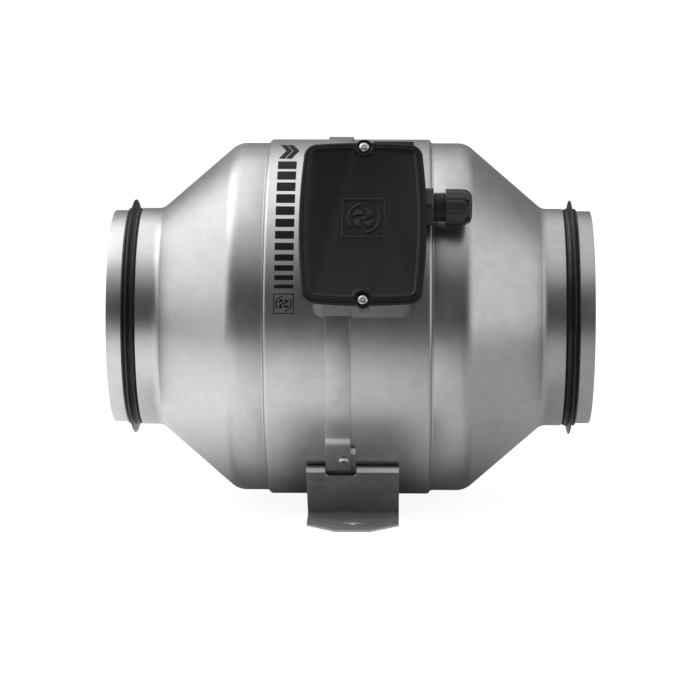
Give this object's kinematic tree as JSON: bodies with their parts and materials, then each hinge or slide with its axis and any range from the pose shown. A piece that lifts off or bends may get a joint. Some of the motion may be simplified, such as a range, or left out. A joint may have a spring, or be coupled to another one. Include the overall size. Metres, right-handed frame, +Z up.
{
  "type": "inline duct fan",
  "caption": "Inline mixed-flow duct fan: galvanised casing with sealed spigots, impeller and motor inside, terminal box with cable gland, clamp strap and folded foot.",
  "frame": {"origin": "on the standing surface, below the middle of the object's box; the fan axis is 0.1279 m above it and 0.0169 m behind it (+Y)", "axes": "+X along the fan axis in the direction of air flow, -Y out of the front where the terminal box is, +Z up"},
  "size_m": [0.328, 0.2827, 0.2618],
  "materials": {
    "galvanised_sheet": "satin galvanised sheet",
    "inner_sheet": "satin galvanised sheet",
    "foot_sheet": "matt galvanised sheet",
    "bright_steel": "zinc-plated",
    "lid_plastic": "fine grained",
    "gland_plastic": "smooth moulded",
    "fan_plastic": "moulded",
    "grey_plastic": "moulded",
    "rubber": "matt",
    "cast_aluminium": "as cast",
    "core_steel": "laminated steel",
    "copper": "enamelled wire"
  },
  "bodies": {
    "support": {"foot_bracket": "foot_sheet", "clamp_strap": "galvanised_sheet", "strap_screw_front": "bright_steel", "strap_screw_rear": "bright_steel"},
    "casing": {"inlet_shell": "galvanised_sheet", "outlet_shell": "galvanised_sheet", "center_band": "galvanised_sheet", "inlet_seal": "rubber", "outlet_seal": "rubber", "inlet_bellmouth": "fan_plastic", "diffuser_core": "inner_sheet", "guide_vane_1": "inner_sheet", "guide_vane_2": "inner_sheet", "guide_vane_3": "inner_sheet", "guide_vane_4": "inner_sheet", "guide_vane_5": "inner_sheet", "guide_vane_6": "inner_sheet", "tail_cone": "fan_plastic", "motor_flange": "cast_aluminium", "motor_screw_1": "bright_steel", "motor_screw_2": "bright_steel", "motor_screw_3": "bright_steel", "stator_core": "core_steel", "winding_front": "copper", "winding_rear": "copper", "bearing_front": "bright_steel", "bearing_rear": "bright_steel", "motor_lead": "rubber", "cable_grommet": "rubber", "terminal_base": "galvanised_sheet", "box_gasket": "rubber", "base_screw": "bright_steel", "earth_screw": "bright_steel", "terminal_block": "grey_plastic", "terminal_screw_1": "bright_steel", "terminal_screw_2": "bright_steel", "terminal_screw_3": "bright_steel", "terminal_screw_4": "bright_steel", "capacitor": "grey_plastic", "gland_body": "gland_plastic", "gland_locknut": "gland_plastic", "gland_seal": "rubber"},
    "rotor": {"impeller": "fan_plastic", "impeller_cap": "fan_plastic", "rotor_cup": "core_steel", "rotor_ring": "cast_aluminium", "motor_shaft": "bright_steel", "impeller_screw_1": "bright_steel", "impeller_screw_2": "bright_steel", "impeller_screw_3": "bright_steel"},
    "lid": {"terminal_lid": "lid_plastic", "lid_screw_top": "bright_steel", "lid_screw_bottom": "bright_steel"},
    "gland_nut": {"gland_cap": "gland_plastic"}
  },
  "joints": [
    {"name": "casing_turn", "type": "hinge", "parent": "support", "child": "casing", "pos_m": [0, 0.01686, 0.1279], "axis": [1, 0, 0], "range_deg": [-120, 40]},
    {"name": "impeller_spin", "type": "hinge", "parent": "casing", "child": "rotor", "pos_m": [-0.06, 0.01686, 0.1279], "axis": [1, 0, 0], "continuous": true},
    {"name": "lid_lift", "type": "slide", "parent": "casing", "child": "lid", "axis": [0, -0.8329, 0.5534], "range_m": [0, 0.06]},
    {"name": "gland_cap_turn", "type": "hinge", "parent": "casing", "child": "gland_nut", "pos_m": [0.07, -0.08357, 0.21816], "axis": [1, 0, 0], "range_deg": [0, 540]}
  ]
}
